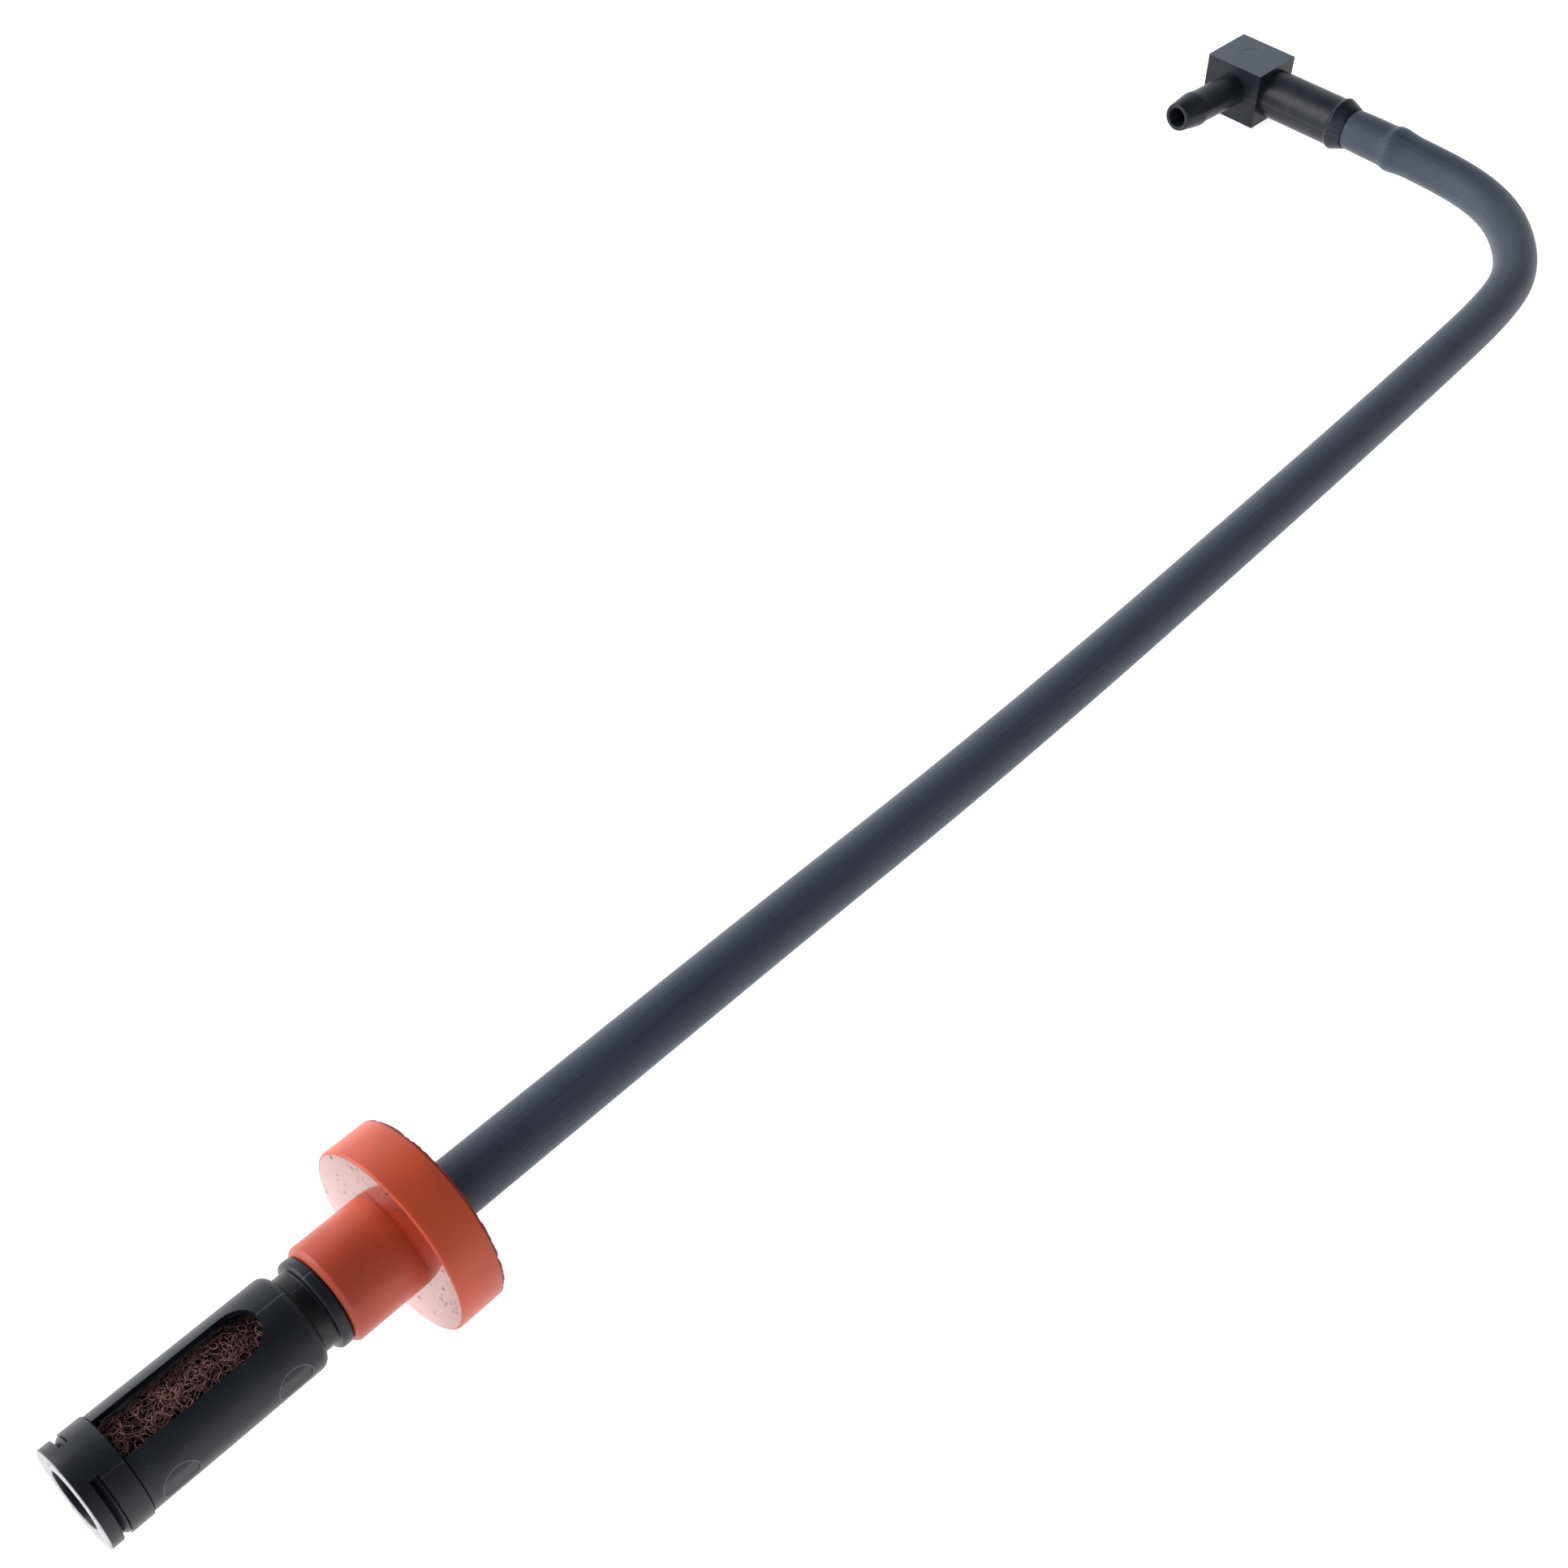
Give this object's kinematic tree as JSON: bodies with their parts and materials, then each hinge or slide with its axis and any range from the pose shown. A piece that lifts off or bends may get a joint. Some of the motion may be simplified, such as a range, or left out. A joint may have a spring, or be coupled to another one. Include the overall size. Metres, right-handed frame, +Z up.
{
  "type": "fuel tank pick-up hose assembly",
  "caption": "Fuel tank pick-up line: a caged felt filter, an orange tank grommet, a black rubber hose with a tight end bend, and a barbed plastic elbow.",
  "frame": {"origin": "centre of the bottom of the box round the filter and its grommet, on the surface that the part lies on", "axes": "+X from the filter's end cap along the hose, +Y towards the side that the hose's far end bends to, +Z up"},
  "size_m": [0.3081, 0.087, 0.0232],
  "materials": {
    "black_nylon": "satin moulded",
    "cap_nylon": "satin moulded",
    "rose_felt": "coarse felt",
    "orange_silicone": "smooth, slightly clear",
    "slate_rubber": "extruded, fine lines",
    "elbow_nylon": "satin moulded"
  },
  "bodies": {
    "line": {"filter_housing": "black_nylon", "end_cap": "cap_nylon", "felt_element": "rose_felt", "hose": "slate_rubber"},
    "grommet": {"grommet": "orange_silicone"},
    "elbow": {"elbow_fitting": "elbow_nylon"}
  },
  "joints": [
    {"name": "grommet_slide", "type": "slide", "parent": "line", "child": "grommet", "axis": [0.998, 0, -0.0628], "range_m": [0, 0.016]},
    {"name": "elbow_swivel", "type": "hinge", "parent": "line", "child": "elbow", "pos_m": [0.27895, 0.0462, 0.00515], "axis": [0.0647, 0.9979, 0], "range_deg": [-90, 90]}
  ]
}
